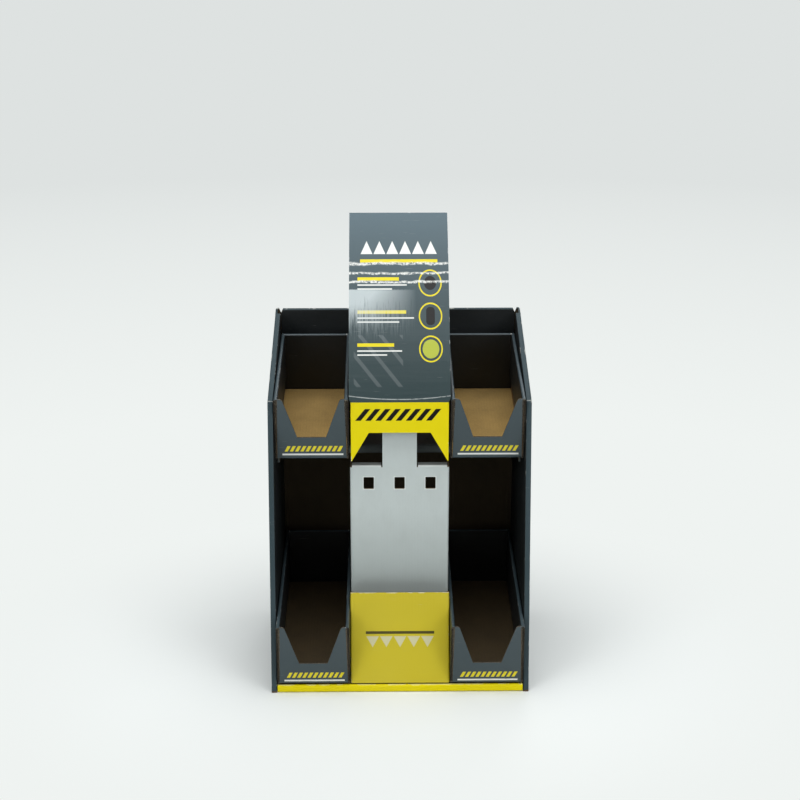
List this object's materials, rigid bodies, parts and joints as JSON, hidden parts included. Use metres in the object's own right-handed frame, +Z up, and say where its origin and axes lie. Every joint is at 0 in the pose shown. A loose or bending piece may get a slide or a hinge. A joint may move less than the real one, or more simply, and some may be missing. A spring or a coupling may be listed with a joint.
{
  "type": "cardboard display rack",
  "caption": "Counter display rack of folded corrugated board with tilted open trays on two levels, a slotted centre column, a front pocket and a leaning sign card.",
  "frame": {"origin": "on the floor below the middle of the whole rack's box", "axes": "+Z up, the rack's front faces -Y, +X to the right as seen from the front"},
  "size_m": [0.3, 0.2398, 0.5303],
  "materials": {
    "slate_shell": "dark slate print on corrugated board, satin varnish",
    "yellow_strip": "yellow print on corrugated board, satin varnish",
    "kraft": "bare brown kraft corrugated board",
    "slate_shelf": "dark slate print on corrugated board",
    "slate_tray": "slate print outside, bare kraft inside, raw fluted edges",
    "pale_column": "pale grey-white print on thin corrugated board",
    "yellow_pocket": "yellow print on thin corrugated board",
    "slate_sign": "glossy slate and yellow print on thin corrugated board"
  },
  "bodies": {
    "root": {"outer_shell": "slate_shell", "base_tray": "yellow_strip", "lower_riser": "kraft", "upper_shelf": "slate_shelf", "tray_upper_left": "slate_tray", "tray_upper_right": "slate_tray", "tray_lower_left": "slate_tray", "tray_lower_right": "slate_tray", "centre_column": "pale_column", "pocket_front": "yellow_pocket", "sign_card": "slate_sign"}
  },
  "joints": []
}
